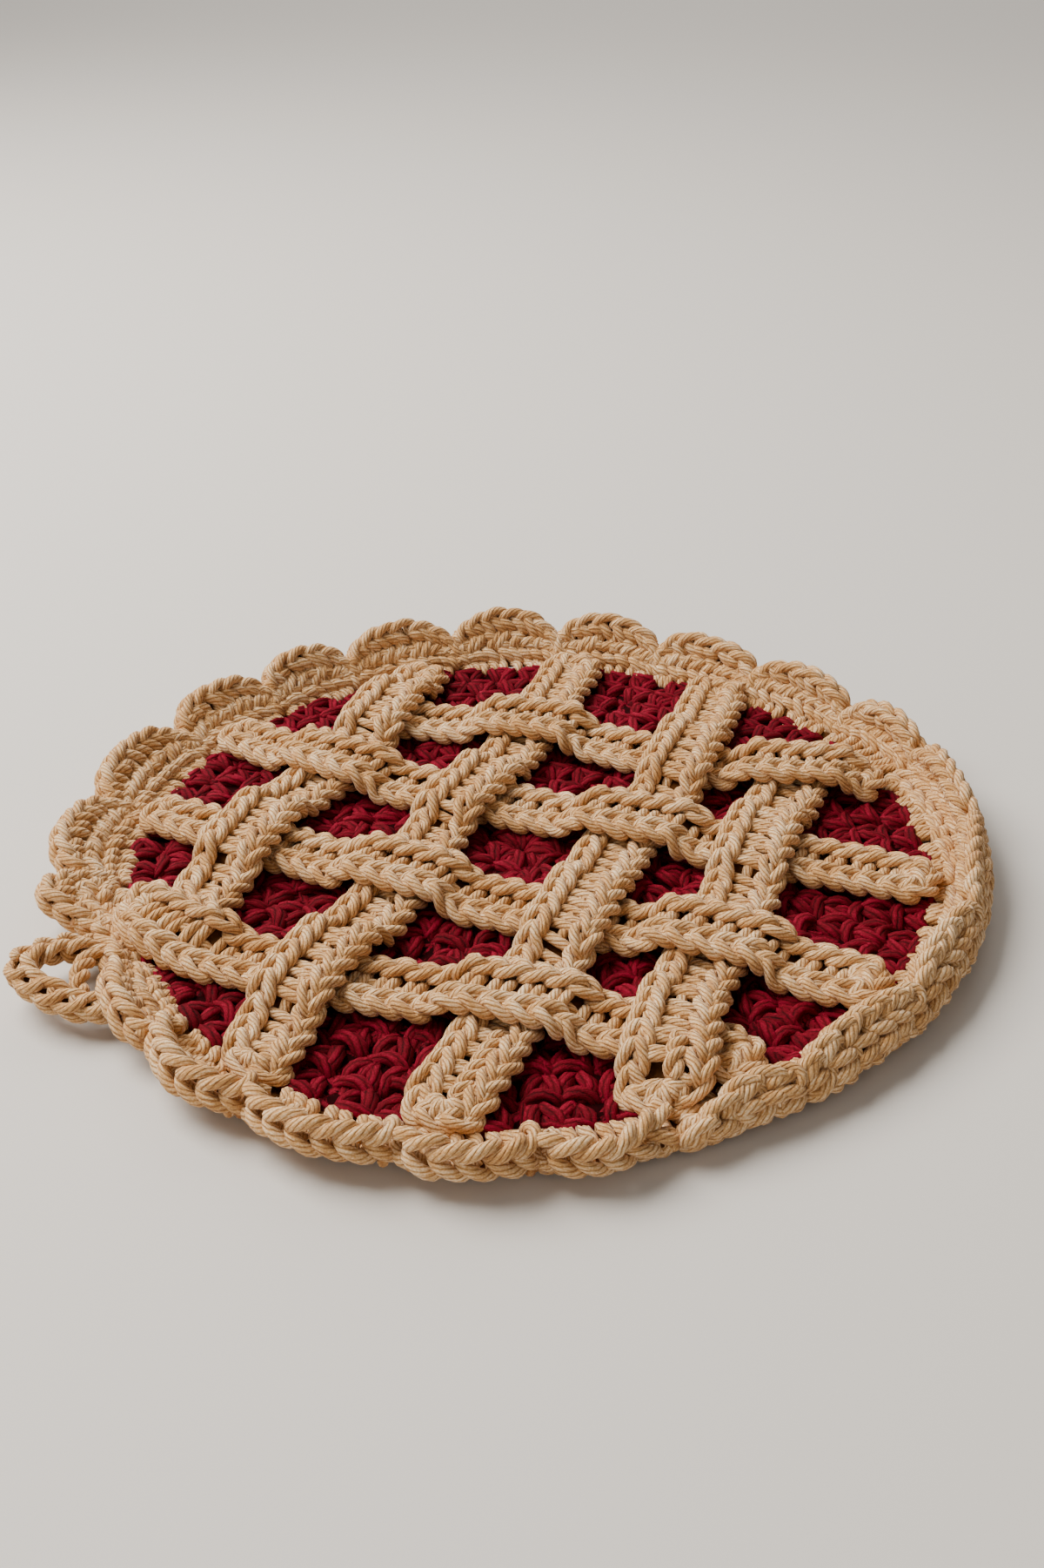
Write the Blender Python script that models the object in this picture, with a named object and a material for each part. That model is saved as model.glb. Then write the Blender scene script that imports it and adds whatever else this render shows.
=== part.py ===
"""Crochet trivet in the form of a lattice-topped round: a red disc worked in the round, eight tan strips
woven over and under one another on top of it, a rim of shell stitches and a small hanging loop.

Metres, +Z up. The origin is the middle of the flat underside, +Y points to the far side and the
hanging loop lies at the left, a little below -X. Angles run counter-clockwise from +X, seen from above.
"""

import math

import bmesh
import bpy
import numpy as np

MM = 0.001
GAP = 0.3  # clearance between neighbouring pieces, in mm, as all the sizes here

BASE_THICKNESS = 4.5
BASE_EDGE_ROUND = 1.2
BASE_STEPS = 126

STRIP_THICKNESS = 3.4
STRIP_EDGE_ROUND = 1.3
STRIP_STEP = 3.8
STRIP_END_TAPER = 0.72
STRIP_END_DRAW = 4.0  # over this last stretch the disc's edge draws a strip's end in
CROSSING_MARGIN = 0.8  # a strip stays lifted this far past the strip that it crosses
CROSSING_RAMP = 6.0
CROSSING_GAP = 0.4  # between a strip and the one that it crosses above

RIM_THICKNESS = 3.6
RIM_ROOT_HEIGHT = 2.7  # middle of the sheet where it is worked into the disc
RIM_ROUNDNESS = 2.3
RIM_STEPS = 8  # sections in each shell
RIM_ROWS = 4  # points from the root to the edge

LOOP_WIDTH = 5.4
LOOP_THICKNESS = 3.0
LOOP_STEPS = 28

# The shells of the rim, counter-clockwise from the hanging loop. A shell starts at start (degrees) and
# ends where the next one starts. In mm: root is the radius where it leaves the disc, belly the radius it
# swings out to, tip the radius of its edge, and height the height of its edge. valley is the length of
# the sheet where the shell starts, as a share of its full length.
SHELL_COLUMNS = ("start", "root", "belly", "tip", "height", "valley")
SHELLS = (
    (200.0, 81.5, 84.5, 86.5, 6.5, 0.60),
    (208.0, 81.5, 88.0, 92.5, 12.5, 0.75),
    (224.0, 83.5, 91.0, 98.0, 8.5, 0.72),
    (240.0, 85.5, 92.0, 99.0, 8.0, 0.75),
    (257.0, 86.0, 92.0, 98.5, 7.0, 0.75),
    (271.0, 85.0, 91.5, 96.5, 5.5, 0.70),
    (286.0, 84.0, 95.5, 85.5, 11.5, 0.75),
    (301.0, 83.5, 97.0, 83.5, 13.0, 0.80),
    (321.0, 83.5, 98.0, 85.0, 14.5, 0.80),
    (339.0, 84.0, 98.0, 87.5, 15.5, 0.80),
    (360.0, 83.5, 97.5, 90.0, 16.0, 0.75),
    (378.0, 83.0, 94.5, 91.5, 16.0, 0.65),
    (393.0, 82.0, 90.0, 90.5, 16.0, 0.55),
    (410.0, 82.0, 87.5, 90.0, 16.0, 0.55),
    (427.0, 82.5, 88.0, 92.5, 16.5, 0.55),
    (444.0, 82.5, 88.0, 93.5, 17.0, 0.50),
    (461.0, 82.0, 87.5, 92.5, 16.5, 0.50),
    (479.0, 81.5, 87.0, 92.0, 16.0, 0.50),
    (494.0, 81.0, 87.0, 93.0, 15.5, 0.50),
    (511.5, 81.0, 87.5, 94.5, 14.0, 0.50),
    (531.5, 81.5, 88.0, 95.5, 13.5, 0.50),
    (549.0, 81.5, 88.5, 97.0, 12.5, 0.50),
)
RIM_END = SHELLS[0][0] + 360.0

# Middle lines of the lattice strips, in mm: (x, y, width) from left to right for those laid across, far
# one first, and from near to far for those laid along, left one first.
STRIP_COLUMNS = ("x", "y", "width")
ACROSS = (
    ((-33, 53, 15), (-22, 50, 15), (6, 43.5, 16), (27, 34, 16), (48, 25, 16), (77, 20, 14)),
    ((-66, 46, 14), (-38, 27, 16), (-15, 18, 16), (20, 3, 16), (50, -7, 16), (80, -19, 15)),
    ((-78, 12, 13), (-60, 3, 14), (-25, -15, 16), (5, -27.5, 16), (30, -36, 16), (64, -51.5, 16)),
    ((-77, -25, 16), (-58, -38, 16), (-30, -48, 16), (-5, -55, 16), (25, -65, 16), (38.5, -72.5, 14)),
)
ALONG = (
    ((-64, -26, 14), (-59, -9, 16), (-50, 15, 16), (-41, 28, 16), (-32.5, 50, 16), (-23, 76, 14)),
    ((-47.5, -72.5, 15), (-40, -50, 16), (-27, -22, 16), (-16, 6, 15), (-3.5, 31, 15), (14.5, 80, 15)),
    ((-15, -84.5, 16), (-3, -58, 16), (8, -35, 16), (19, -5, 16), (32.5, 20, 16), (48, 66, 15)),
    ((22, -82, 18), (29, -54, 16), (41, -25, 16), (50, 0, 16), (58, 18, 16), (62, 30, 14)),
)

# The hanging loop's middle line: x, y and z in mm, from its root beside the first shell round to the
# root under it.
LOOP_PATH = (
    (-82.5, -34.4, 4.6),
    (-86.5, -36.0, 6.2),
    (-92.5, -40.0, 7.6),
    (-94.0, -45.0, 7.6),
    (-90.0, -50.5, 6.4),
    (-83.0, -54.5, 4.6),
    (-78.7, -57.7, 3.0),
)

TAN = (0.60, 0.40, 0.22)
RED = (0.30, 0.010, 0.028)


def clear_scene():
    for obj in list(bpy.data.objects):
        bpy.data.objects.remove(obj, do_unlink=True)


def yarn_material(name, colour):
    """A soft cotton yarn in one colour."""
    material = bpy.data.materials.new(name)
    material.use_nodes = True
    shader = material.node_tree.nodes["Principled BSDF"]
    shader.inputs["Base Color"].default_value = (*colour, 1.0)
    shader.inputs["Roughness"].default_value = 0.9
    shader.inputs["Metallic"].default_value = 0.0
    return material


def smooth_curve(points, count):
    """count points at even distances along a Catmull-Rom curve through the given ones."""
    points = np.array(points, float)
    first = 2 * points[0] - points[1]
    last = 2 * points[-1] - points[-2]
    padded = np.vstack([first, points, last])
    fine = []
    for i in range(len(points) - 1):
        a, b, c, d = padded[i : i + 4]
        for t in np.linspace(0, 1, 24, endpoint=False):
            linear = (c - a) * t
            square = (2 * a - 5 * b + 4 * c - d) * t**2
            cubic = (3 * b - a - 3 * c + d) * t**3
            fine.append(0.5 * (2 * b + linear + square + cubic))
    fine.append(points[-1])
    fine = np.array(fine)
    steps = np.linalg.norm(np.diff(fine, axis=0), axis=1)
    along = np.concatenate([[0], np.cumsum(steps)])
    wanted = np.linspace(0, along[-1], count)
    return np.stack([np.interp(wanted, along, column) for column in fine.T], axis=1)


def distance_to_line(point, line):
    """Shortest distance in plan from a point to a polyline."""
    starts, runs = line[:-1], np.diff(line, axis=0)
    share = ((point - starts) * runs).sum(axis=1) / (runs**2).sum(axis=1)
    nearest = starts + np.clip(share, 0, 1)[:, None] * runs
    return np.linalg.norm(point - nearest, axis=1).min()


def smoothstep(value):
    value = min(max(value, 0.0), 1.0)
    return value * value * (3 - 2 * value)


def add_object(name, mesh_data, colour):
    """An object from bmesh geometry in mm, shaded smooth, with its own material."""
    bmesh.ops.recalc_face_normals(mesh_data, faces=mesh_data.faces)
    bmesh.ops.scale(mesh_data, vec=(MM, MM, MM), verts=mesh_data.verts)
    mesh = bpy.data.meshes.new(name)
    mesh_data.to_mesh(mesh)
    mesh_data.free()
    mesh.shade_smooth()
    mesh.set_sharp_from_angle(angle=math.radians(50))
    mesh.materials.append(yarn_material(name, colour))
    obj = bpy.data.objects.new(name, mesh)
    bpy.context.scene.collection.objects.link(obj)
    return obj


def skin(sections, closed):
    """A closed body through sections that each hold the same number of points."""
    body = bmesh.new()
    rings = [[body.verts.new(point) for point in section] for section in sections]
    sides = len(rings[0])
    pairs = list(zip(rings, rings[1:]))
    if closed:
        pairs.append((rings[-1], rings[0]))
    for near, far in pairs:
        for i in range(sides):
            j = (i + 1) % sides
            body.faces.new((near[i], near[j], far[j], far[i]))
    if not closed:
        body.faces.new(rings[0])
        body.faces.new(reversed(rings[-1]))
    return body


def rim_values(angle):
    """root, belly, tip and height of the rim's sheet at an angle in degrees, and the share that is there."""
    starts = [row[0] for row in SHELLS] + [RIM_END]
    angle = starts[0] + (angle - starts[0]) % 360.0
    index = max(i for i, start in enumerate(starts[:-1]) if start <= angle)
    width = starts[index + 1] - starts[index]
    share = (angle - starts[index]) / width
    bow = 1 - abs(2 * share - 1) ** RIM_ROUNDNESS
    valleys = [row[-1] for row in SHELLS] + [SHELLS[0][-1]]
    valley = valleys[index] + (valleys[index + 1] - valleys[index]) * share
    length = valley + (1 - valley) * bow ** (1 / RIM_ROUNDNESS)
    middles = [(a + b) / 2 for a, b in zip(starts, starts[1:])]
    turned = [middles[-1] - 360, *middles, middles[0] + 360]
    rows = [SHELLS[-1], *SHELLS, SHELLS[0]]
    blend = [np.interp(angle, turned, [row[k] for row in rows]) for k in range(1, 5)]
    return *blend, length


def rim_section(angle):
    """Outline of the rim's sheet at an angle: down its inner face and back up its outer one."""
    root, belly, tip, height, length = rim_values(angle)
    start = np.array([root, RIM_ROOT_HEIGHT])
    bend = np.array([belly, RIM_ROOT_HEIGHT + 0.25 * (height - RIM_ROOT_HEIGHT) * (belly < tip)])
    end = np.array([tip, height - RIM_THICKNESS / 2])
    inner, outer = [], []
    for row in range(RIM_ROWS):
        t = length * row / (RIM_ROWS - 1)
        middle = (1 - t) ** 2 * start + 2 * t * (1 - t) * bend + t**2 * end
        run = 2 * (1 - t) * (bend - start) + 2 * t * (end - bend)
        across = np.array([-run[1], run[0]]) / np.linalg.norm(run)
        if row == 0:
            across = np.array([0.0, 1.0])
        half = RIM_THICKNESS / 2 * (0.72 if row == RIM_ROWS - 1 else 1.0)
        inner.append(middle + across * half)
        outer.append(middle - across * half)
    turn = math.radians(angle)
    radial = (math.cos(turn), math.sin(turn))
    return [(r * radial[0], r * radial[1], max(z, 0.4)) for r, z in inner + outer[::-1]]


def make_base():
    """The red disc: flat underneath, with a rounded upper edge just inside the rim's root."""
    angles = [360.0 * i / BASE_STEPS for i in range(BASE_STEPS)]
    radii = [rim_values(angle)[0] - GAP for angle in angles]
    levels = (
        (BASE_EDGE_ROUND * 0.5, 0.0),
        (0.0, BASE_EDGE_ROUND * 0.5),
        (0.0, BASE_THICKNESS - BASE_EDGE_ROUND),
        (BASE_EDGE_ROUND, BASE_THICKNESS),
    )
    sections = []
    for inset, height in levels:
        ring = []
        for angle, radius in zip(angles, radii):
            turn = math.radians(angle)
            ring.append(((radius - inset) * math.cos(turn), (radius - inset) * math.sin(turn), height))
        sections.append(ring)
    return add_object("red_base", skin(sections, closed=False), RED)


def make_rim():
    """The rim: one sheet of shells all round, worked into the disc's edge."""
    starts = [row[0] for row in SHELLS] + [RIM_END]
    sections = []
    for start, end in zip(starts, starts[1:]):
        steps = RIM_STEPS if end - start > 10 else RIM_STEPS // 2
        for step in range(steps):
            sections.append(rim_section(start + (end - start) * step / steps))
    return add_object("shell_rim", skin(sections, closed=True), TAN)


def strip_height(point, crossed):
    """Height of a strip's underside at a point: it climbs over each strip that it crosses above."""
    low = BASE_THICKNESS + GAP
    lift = 0.0
    for line in crossed:
        reach = line[:, 2].mean() / 2 + CROSSING_MARGIN
        away = distance_to_line(point, line[:, :2]) - reach
        lift = max(lift, 1 - smoothstep(away / CROSSING_RAMP))
    return low + lift * (STRIP_THICKNESS + CROSSING_GAP)


def drawn_in(place):
    """A point of a strip's end, drawn in so that it stays inside the rim's root."""
    radius = np.linalg.norm(place)
    root = rim_values(math.degrees(math.atan2(place[1], place[0])))[0] - GAP
    past = radius - (root - STRIP_END_DRAW)
    if past <= 0:
        return place
    return place * (root - STRIP_END_DRAW * math.exp(-past / STRIP_END_DRAW)) / radius


def strip_section(point, side, width, crossed):
    """Eight-sided section of a strip, its height taken at each of its own points."""
    half, edge, thick = width / 2, STRIP_EDGE_ROUND, STRIP_THICKNESS
    outline = (
        (-half + edge, 0.0),
        (half - edge, 0.0),
        (half, edge * 0.6),
        (half, thick - edge),
        (half - edge, thick),
        (-half + edge, thick),
        (-half, thick - edge),
        (-half, edge * 0.6),
    )
    section = []
    for offset, rise in outline:
        place = drawn_in(point + side * offset)
        section.append((place[0], place[1], strip_height(place, crossed) + rise))
    return section


def make_strip(name, line, crossed):
    runs = np.gradient(line[:, :2], axis=0)
    sections = []
    for i, ((x, y, width), run) in enumerate(zip(line, runs)):
        run = run / np.linalg.norm(run)
        side = np.array([-run[1], run[0]])
        at_end = i in (0, len(line) - 1)
        width *= STRIP_END_TAPER if at_end else 1.0
        sections.append(strip_section(np.array([x, y]), side, width, crossed))
    return add_object(name, skin(sections, closed=False), TAN)


def make_lattice():
    """Eight strips in a plain weave: an along strip lies over an across one where their numbers match."""
    across = [strip_line(points) for points in ACROSS]
    along = [strip_line(points) for points in ALONG]
    for i, line in enumerate(across):
        crossed = [other for j, other in enumerate(along) if (i + j) % 2 == 1]
        make_strip(f"lattice_across_{i + 1}", line, crossed)
    for j, line in enumerate(along):
        crossed = [other for i, other in enumerate(across) if (i + j) % 2 == 0]
        make_strip(f"lattice_along_{j + 1}", line, crossed)


def strip_line(points):
    rough = np.array(points, float)[:, :2]
    length = np.linalg.norm(np.diff(rough, axis=0), axis=1).sum()
    return smooth_curve(points, int(length / STRIP_STEP) + 1)


def make_loop():
    """The hanging loop: a short crocheted band that stands out from the rim and comes back to it."""
    line = smooth_curve(LOOP_PATH, LOOP_STEPS)
    runs = np.gradient(line, axis=0)
    half, rise, edge = LOOP_WIDTH / 2, LOOP_THICKNESS / 2, 0.9
    outline = (
        (-half + edge, -rise),
        (half - edge, -rise),
        (half, 0.0),
        (half - edge, rise),
        (-half + edge, rise),
        (-half, 0.0),
    )
    sections = []
    for point, run in zip(line, runs):
        side = np.array([-run[1], run[0], 0.0])
        side /= np.linalg.norm(side)
        sections.append([tuple(point + side * offset + np.array([0, 0, lift])) for offset, lift in outline])
    return add_object("hanging_loop", skin(sections, closed=False), TAN)


def main():
    clear_scene()
    make_base()
    make_rim()
    make_lattice()
    make_loop()


main()
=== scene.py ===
"""Crochet trivet: a red disc of single crochet under a woven lattice of tan strips, with a rim of shell
stitches and a hanging loop. Every stitch is a strand of plied yarn laid along its own path.

Lengths inside the file are in mm and become metres when a mesh is made.
"""

import math

import bmesh
import bpy
import numpy as np
from mathutils import Matrix, Vector


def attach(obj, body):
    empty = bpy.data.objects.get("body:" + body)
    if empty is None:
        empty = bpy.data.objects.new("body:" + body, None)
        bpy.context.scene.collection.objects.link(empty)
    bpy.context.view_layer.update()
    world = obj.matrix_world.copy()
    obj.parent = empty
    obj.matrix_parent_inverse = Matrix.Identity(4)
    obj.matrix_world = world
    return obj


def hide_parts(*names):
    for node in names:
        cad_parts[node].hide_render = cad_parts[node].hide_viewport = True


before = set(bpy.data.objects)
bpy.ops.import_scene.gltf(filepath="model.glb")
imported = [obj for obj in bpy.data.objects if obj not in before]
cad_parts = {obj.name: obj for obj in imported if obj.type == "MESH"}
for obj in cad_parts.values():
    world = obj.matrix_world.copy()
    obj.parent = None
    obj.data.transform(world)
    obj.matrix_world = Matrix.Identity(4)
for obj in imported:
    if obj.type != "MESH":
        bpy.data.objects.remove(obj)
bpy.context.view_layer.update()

bl_info = {
    "name": "Crochet trivet",
    "version": (1, 0, 0),
    "blender": (4, 5, 0),
    "location": "3D View > Sidebar > Trivet",
    "description": "Makes a crochet trivet stitch by stitch around its solid model",
    "category": "Add Mesh",
}

MM = 0.001
GAP = 0.3
TAN_PLIES = 7
RED_PLIES = 5
TAN_SIDES = 10
RED_SIDES = 2 * RED_PLIES
PLY_DIP = 0.20
# How much each part of a yarn's look lightens it, and how strongly parts of it stand out.
# The ply part is painted shade: dark in the valleys between the plies and light on their crests, its depth
# varied by the sway part.
PLY_PAINTED_SHADE, SWAY_LIGHT, STREAK_LIGHT, TONE_LIGHT = 0.18, 0.44, 0.80, 0.16
PATCH_LIGHT, FUZZ_LIGHT, EVEN_LIGHT = 0.28, 0.60, 0.20
PLY_HEIGHT, STREAK_HEIGHT, FUZZ_HEIGHT = 0.60, 0.30, 0.12
# Noises: (scale, detail).
SWAY_NOISE, STREAK_NOISE, PATCH_NOISE = (350.0, 1.0), (1.0, 2.0), (60.0, 2.0)
FUZZ_NOISE, GRAIN_NOISE = (3000.0, 1.0), (900.0, 3.0)
FIBRE_STRETCH = 0.35
YARN_ROUGHNESS, ROUGHNESS_RANGE = 0.80, 0.25
# How thin a strand's tucked ends are, and how much its own thickness and its surface vary.
TUCKED_END = 0.72
THICKNESS_RANGE = (0.94, 1.06)
SURFACE_SWAY = 0.022

BASE_THICKNESS = 4.5
STRIP_THICKNESS = 3.4
STRIP_END_DRAW = 4.0
CROSSING_MARGIN = 0.8
CROSSING_RAMP = 6.0
CROSSING_GAP = 0.4
RIM_THICKNESS = 3.6
RIM_ROOT_HEIGHT = 2.7
RIM_ROUNDNESS = 2.3

# The shells of the rim, counter-clockwise from the hanging loop: where a shell starts in degrees, the
# radii of its root, belly and edge, the height of its edge, and its share of full length at its start.
SHELLS = (
    (200, 81.5, 84.5, 86.5, 6.5, 0.6), (208, 81.5, 88, 92.5, 12.5, 0.75),
    (224, 83.5, 91, 98, 8.5, 0.72), (240, 85.5, 92, 99, 8, 0.75),
    (257, 86, 92, 98.5, 7, 0.75), (271, 85, 91.5, 96.5, 5.5, 0.7),
    (286, 84, 95.5, 85.5, 11.5, 0.75), (301, 83.5, 97, 83.5, 13, 0.8),
    (321, 83.5, 98, 85, 14.5, 0.8), (339, 84, 98, 87.5, 15.5, 0.8),
    (360, 83.5, 97.5, 90, 16, 0.75), (378, 83, 94.5, 91.5, 16, 0.65),
    (393, 82, 90, 90.5, 16, 0.55), (410, 82, 87.5, 90, 16, 0.55),
    (427, 82.5, 88, 92.5, 16.5, 0.55), (444, 82.5, 88, 93.5, 17, 0.5),
    (461, 82, 87.5, 92.5, 16.5, 0.5), (479, 81.5, 87, 92, 16, 0.5),
    (494, 81, 87, 93, 15.5, 0.5), (511.5, 81, 87.5, 94.5, 14, 0.5),
    (531.5, 81.5, 88, 95.5, 13.5, 0.5), (549, 81.5, 88.5, 97, 12.5, 0.5),
)
RIM_START = SHELLS[0][0]
LOW_SHELLS = (214.0, 292.0)
SHELL_STARTS = np.array([row[0] for row in SHELLS] + [RIM_START + 360.0])

# Middle lines of the lattice strips: (x, y, width), left to right across and near to far along.
ACROSS = (
    ((-33, 53, 15), (-22, 50, 15), (6, 43.5, 16), (27, 34, 16), (48, 25, 16), (77, 20, 14)),
    ((-66, 46, 14), (-38, 27, 16), (-15, 18, 16), (20, 3, 16), (50, -7, 16), (80, -19, 15)),
    ((-78, 12, 13), (-60, 3, 14), (-25, -15, 16), (5, -27.5, 16), (30, -36, 16), (64, -51.5, 16)),
    ((-77, -25, 16), (-58, -38, 16), (-30, -48, 16), (-5, -55, 16), (25, -65, 16), (38.5, -72.5, 14)),
)
ALONG = (
    ((-64, -26, 14), (-59, -9, 16), (-50, 15, 16), (-41, 28, 16), (-32.5, 50, 16), (-23, 76, 14)),
    ((-47.5, -72.5, 15), (-40, -50, 16), (-27, -22, 16), (-16, 6, 15), (-3.5, 31, 15), (14.5, 80, 15)),
    ((-15, -84.5, 16), (-3, -58, 16), (8, -35, 16), (19, -5, 16), (32.5, 20, 16), (48, 66, 15)),
    ((22, -82, 18), (29, -54, 16), (41, -25, 16), (50, 0, 16), (58, 18, 16), (62, 30, 14)),
)

# The strips along that end openly at the near side, and how far up from that end each is ribbed, in mm.
OPEN_ENDS = {2: 0.0, 3: 23.0, 4: 13.0}
# How far the strips' stitches lie over the rim's roots, and how far their ends reach past their tables.
OVERHANG = 2.4
END_REACH = 2.0
# How far the edge drops at an open end, and how near the strip's ends its furrow stops, in mm.
OPEN_END_DROP = 1.3
FURROW_STOP = 5.5

# The hanging loop's middle line, with both ends worked into the rim: x, y and z.
LOOP_PATH = (
    (-77.5, -34.6, 3.4), (-81.8, -34.6, 4.8), (-86.2, -36.0, 6.2), (-91.0, -39.8, 7.4),
    (-92.6, -43.8, 7.6), (-89.6, -48.2, 7.0), (-84.6, -51.2, 6.2), (-80.0, -52.8, 5.4),
    (-75.5, -52.6, 4.8), (-71.5, -51.0, 4.4),
)

# The strands that close the loop beside the rim.
LOOP_JOIN = (
    (-77.5, -34.8, 3.6), (-80.4, -36.6, 5.0), (-81.9, -40.5, 5.8), (-81.7, -45.5, 6.0),
    (-80.2, -50.5, 5.4), (-77.0, -52.4, 4.0),
)

LOOP_STITCH, LOOP_SPREAD, LOOP_LEAN = 4.5, 1.95, 30
# The corners of the cores' sections: the loop's (out and up, in mm), a strip's (side; up, in mm).
LOOP_CORE = ((-1.6, -0.5), (1.6, -0.5), (1.6, 0.5), (-1.6, 0.5))
STRIP_CORE = ((-1, -1.65), (1, -1.65), (1, -1.25), (-1, -1.25))
JOIN_TURN = 8.0

# One leg of a chain's V: (along, in stitch lengths; out from the middle, in spreads; up, in yarn radii).
CHAIN_LEG = (
    (-0.34, 0.04, -1.7), (-0.2, 0.14, -0.7), (-0.02, 0.34, 0.2), (0.26, 0.66, 0.45), (0.6, 1.0, 0.25),
    (0.92, 1.12, -0.35), (1.16, 0.9, -1.15), (1.26, 0.45, -1.75),
)
# The strands of a V stitch on a lattice strip's edge: (along, in stitch lengths; out from the ridge's
# middle line and up from the strip's middle, in mm). The inner leg bows to the furrow's side, the outer
# leg turns down round the strip's edge, and the filler lies under the outer legs.
INNER_LEG = (
    (-0.36, 0.25, -1.3), (-0.22, 0.1, -0.1), (-0.02, -0.45, 0.95), (0.26, -1.15, 1.2),
    (0.58, -1.95, 0.85), (0.88, -2.2, 0.35), (1.12, -1.75, -0.2), (1.26, -0.85, -0.9),
)
OUTER_LEG = (
    (-0.16, -0.25, -1.2), (-0.04, 0.0, 0.2), (0.12, 0.5, 1.15), (0.38, 1.25, 1.05), (0.68, 1.95, 0.35),
    (0.98, 2.2, -0.4), (1.24, 1.75, -0.95), (1.38, 0.9, -1.2),
)
LEG_FILLER = (
    (0.76, 0.0, -0.5), (0.88, 0.5, 0.25), (1.06, 0.95, 0.3), (1.26, 1.35, -0.2), (1.42, 1.3, -0.9),
)
# The short strand between the two legs.
LEG_HEART = (
    (0.12, -0.8, -0.9), (0.24, -0.7, 0.1), (0.42, -0.55, 0.35), (0.6, -0.75, 0.1), (0.72, -1.1, -0.7),
)
# A slanting bump on the face of a shell: (along, in bump lengths; down from the shell's edge
# and off the sheet's middle, in mm).
FACE_BUMP = (
    (-0.62, 3.4, -0.1), (-0.42, 2.7, 0.85), (0.0, 1.9, 1.25), (0.42, 1.1, 0.95), (0.62, 0.4, 0.0),
)
# Rows of bumps: (down from the edge in mm, slant, length of a bump in mm).
ROLLED_ROWS = ((1.5, 1.0, 5.2), (4.9, -1.1, 4.8), (8.6, 1.0, 5.0))
STANDING_ROWS = ((2.4, 1.5, 2.9), (6.6, -1.5, 3.0), (10.6, 1.4, 3.2))
INNER_ROLLED_ROWS = (
    (1.3, 0.7, 5.0), (5.2, -0.8, 5.6), (9.6, 0.9, 5.0), (14.0, -0.8, 5.4), (18.2, 0.7, 5.2),
    (21.6, -0.9, 4.6),
)
# A strand across the lattice's furrow: (along; across, in half furrows; up, in mm).
FURROW_POST = (
    (-0.1, -1.15, -1.6), (-0.05, -0.6, -0.7), (0.0, 0.0, -0.4), (0.05, 0.6, -0.7), (0.1, 1.15, -1.6),
)
# The strand that hides the core between two posts: along, in furrow stitches, and up, in mm.
FURROW_BRIDGE = ((-0.30, -2.1), (-0.15, -1.25), (0.0, -1.0), (0.15, -1.25), (0.30, -2.1))
FURROW_HALF = 3.3
FURROW_PITCH = 1.2
# The bars of a ribbed stub, from the strip's left edge in to its wound column: (along, across and up, in
# mm). Those on its right run from the column out to the right edge: (along, across).
STUB_BAR = ((-0.4, 4.8, -0.8), (-0.2, 3.2, 0.05), (0.0, 1.2, 0.1), (0.3, -0.6, -0.5))
STUB_RIGHT_BAR = ((0.6, -2.0), (0.2, -2.8), (-0.3, -3.8), (-0.6, -4.8))
# The stub's column, in mm: where it and the bars start, the length of a turn, its middle (across, up) and
# how far its two strands wind about it.
STUB_START, FIRST_BAR, STUB_TURN = 4.6, 8.2, 6.0
STUB_MIDDLE, STUB_WINDING = (-1.2, 0.35), (0.95, 0.60)
# The legs that fan out round a strip's end: directions in degrees, then (share of their length, height
# in mm, height in mm at an open end).
FAN_DIRECTIONS = (-74, -46, -16, 14, 44, 72)
FAN_LEG = ((0.05, -1.0, -0.8), (0.3, 0.0, 0.35), (0.55, 0.1, 0.25), (0.85, -0.6, -1.5))
# How far the hole that they come from lies from the strip's end, and how far they stop from the strip's
# edge; then the same hole and the legs' own length at an open end, all in mm.
FAN_HOLE, FAN_INSET = 6.0, 2.5
OPEN_FAN_HOLE, OPEN_FAN_LENGTH = 4.4, 4.9
# Where a post starts: (inside the disc's edge; height), first down in the red, then up over it.
POST_ROOTS = ((1.6, 2.2), (0.9, BASE_THICKNESS - 1.0), (-0.6, BASE_THICKNESS - 0.6))
POST_WINDING = (0.65, 1.15)
# How far up the rim's sheet its core's rings lie, and half the core's thickness in mm.
CORE_SHARES, CORE_HALF = (0.08, 0.35, 0.62, 0.88), 0.4
POST_TURNS, POST_BEGIN = (0.30, 0.55), (-0.08, 0.08)
# A wrap over a post: (across and off the sheet, in mm).
WRAP = ((-1.9, 0.2), (-1.0, 1.1), (0.0, 1.45), (1.0, 1.1), (1.9, 0.2))
# One leg of a red single crochet: (along the round, in stitches; out along the radius, in rounds; up).
DISC_LEG = (
    (0.03, 0.0, -1.5), (0.09, 0.15, -0.35), (0.22, 0.4, 0.15), (0.33, 0.7, 0.05), (0.3, 1.0, -1.0),
)
# The short leg between the two, and the share of the stitches that it fills.
DISC_MIDDLE = (
    (-0.06, -0.05, -1.7), (-0.03, 0.2, -0.65), (0.0, 0.45, -0.15), (0.02, 0.7, -0.2), (0.0, 0.95, -1.2),
)
DISC_FILLED = 0.6
# The hole in the disc's centre, in rounds, and how far inside a strip's edge the red still shows, in mm.
DISC_CENTRE, RED_SHOWN = 0.15, 3.5
# How much wider and flatter the stitches of the back are.
BACK_SPREAD = 1.35
BACK_RELIEF = 0.45
# The rings of the disc's core: (inside the disc's edge; height).
CORE_RINGS = ((2.2, 1.0), (1.2, 1.4), (1.2, 2.4), (2.2, 2.8))
# The strand that runs from one red hole to the next on top of a round.
DISC_LOOP = (
    (-0.48, 1.02, -1.4), (-0.36, 0.93, -0.3), (-0.13, 0.82, 0.2), (0.13, 0.82, 0.2), (0.36, 0.95, -0.3),
    (0.48, 1.04, -1.4),
)


# --- curves and strands ---


def unit(vectors):
    return vectors / np.maximum(np.linalg.norm(vectors, axis=-1, keepdims=True), 1e-9)


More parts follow.
